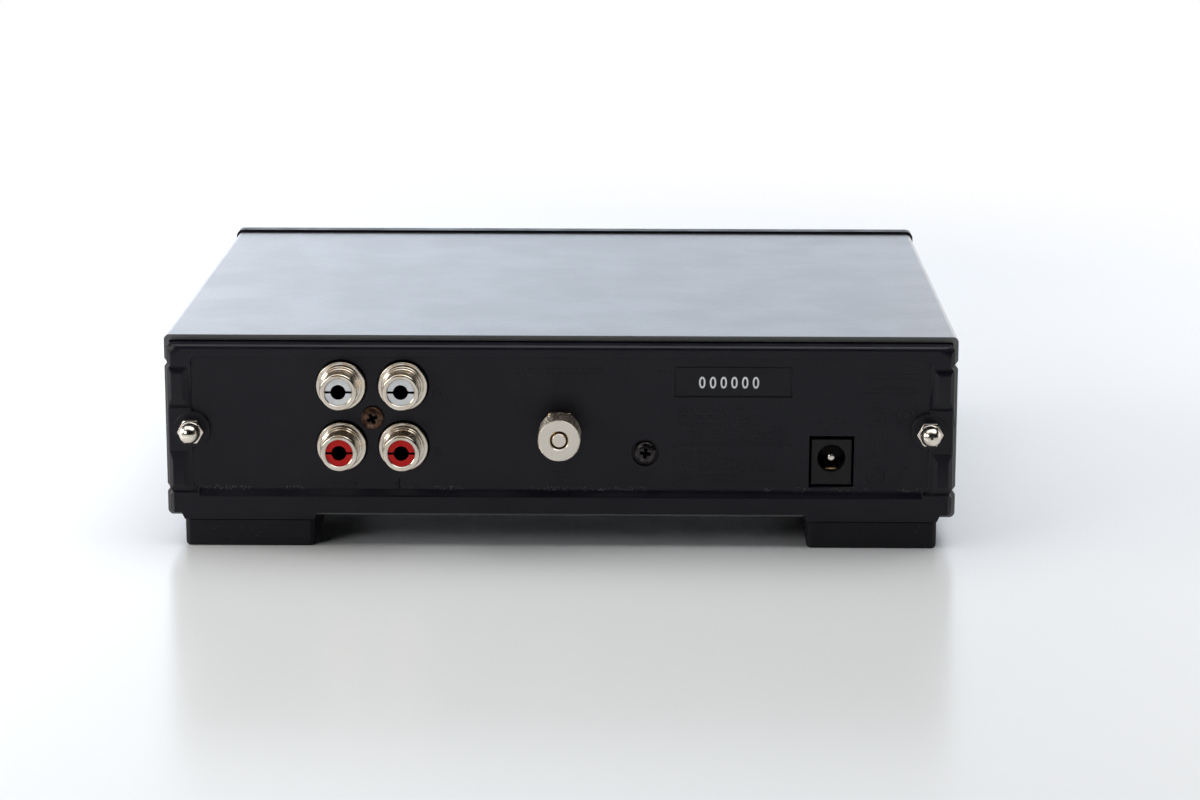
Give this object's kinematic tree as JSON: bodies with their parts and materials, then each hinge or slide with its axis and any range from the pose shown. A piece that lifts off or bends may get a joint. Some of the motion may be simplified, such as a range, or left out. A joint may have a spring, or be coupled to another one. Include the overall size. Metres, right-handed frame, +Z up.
{
  "type": "phono preamp",
  "caption": "Low black box phono preamplifier with phono sockets, an earth terminal and a low-voltage inlet on its rear, a push button in front and wide feet.",
  "frame": {"origin": "middle of the whole object, on the surface that its feet stand on", "axes": "+Z up, +Y out of the rear with its sockets, +X to the right seen from the front"},
  "size_m": [0.1812, 0.1614, 0.0489],
  "materials": {
    "case_paint": "fine crinkle-textured black paint, satin",
    "black_moulding": "fine spark-eroded matt black",
    "foot_black": "smooth hard black rubber",
    "block_black": "black moulded plastic",
    "label_black": "matt black label with white digits",
    "button_black": "satin black",
    "nickel": "bright warm nickel plate",
    "gold_nickel": "pale gold plate",
    "brass": "plain brass",
    "zinc_steel": "zinc plate",
    "tinned_steel": "tin plate",
    "dark_screw": "black oxide",
    "bronzed_screw": "dull brown plate",
    "white_plastic": "smooth white",
    "red_plastic": "smooth red",
    "ivory_plastic": "smooth ivory",
    "circuit_board": "green solder resist",
    "capacitor_sleeve": "dark shrink sleeve",
    "capacitor_blue": "blue shrink sleeve",
    "film_red": "dipped red",
    "chip_black": "black epoxy",
    "sink_black": "black anodised",
    "resistor_blue": "blue lacquer",
    "clear_lens": "polished clear",
    "lamp_green": "tinted clear"
  },
  "bodies": {
    "case": {"upper_shell": "case_paint", "lower_shell": "case_paint", "front_panel": "black_moulding", "rear_panel": "black_moulding", "foot_front_left": "foot_black", "foot_front_right": "foot_black", "foot_rear_left": "foot_black", "foot_rear_right": "foot_black", "foot_screws": "dark_screw", "foot_nuts": "zinc_steel", "tie_rods": "zinc_steel", "tie_rod_inserts": "brass", "acorn_nuts": "nickel", "main_board": "circuit_board", "board_standoffs": "brass", "board_screws": "zinc_steel", "phono_block": "block_black", "phono_shell_input_left": "nickel", "phono_shell_input_right": "nickel", "phono_shell_output_left": "nickel", "phono_shell_output_right": "nickel", "phono_core_input_left": "white_plastic", "phono_core_output_left": "white_plastic", "phono_core_input_right": "red_plastic", "phono_core_output_right": "red_plastic", "phono_contacts": "brass", "phono_block_screw": "bronzed_screw", "earth_stud": "nickel", "earth_lug": "tinned_steel", "earth_inner_nut": "brass", "earth_hex_nut": "gold_nickel", "inlet_body": "block_black", "inlet_pin": "nickel", "inlet_spring": "brass", "board_bracket": "zinc_steel", "bracket_screw": "dark_screw", "serial_label": "label_black", "switch_spring": "zinc_steel", "switch_body": "tinned_steel", "indicator_lens": "clear_lens", "indicator_led": "lamp_green", "reservoir_capacitors": "capacitor_sleeve", "coupling_capacitors": "capacitor_blue", "film_capacitors": "film_red", "rectifier_diodes": "chip_black", "regulators": "chip_black", "heat_sinks": "sink_black", "heat_sink_screws": "zinc_steel", "amplifier_chips": "chip_black", "transistors": "chip_black", "resistors": "resistor_blue"},
    "button": {"power_button": "button_black", "button_rod": "block_black", "switch_plunger": "ivory_plastic"},
    "clamp_washer": {"earth_washer": "nickel"},
    "thumb_nut": {"earth_thumb_nut": "nickel"}
  },
  "joints": [
    {"name": "button_press", "type": "slide", "parent": "case", "child": "button", "axis": [0, 1, 0], "range_m": [0, 0.0015], "stiffness_N_per_m": 300, "deforming": ["switch_spring"]},
    {"name": "thumb_nut_travel", "type": "slide", "parent": "case", "child": "clamp_washer", "axis": [0, 1, 0], "range_m": [0, 0.0028]},
    {"name": "thumb_nut_turn", "type": "hinge", "parent": "clamp_washer", "child": "thumb_nut", "pos_m": [0, 0.07577, 0.0273], "axis": [0, 1, 0], "range_deg": [0, 1440]}
  ],
  "couplings": [
    {"joint": "thumb_nut_turn", "follows": "thumb_nut_travel", "rad_per_m": 8975.9}
  ]
}
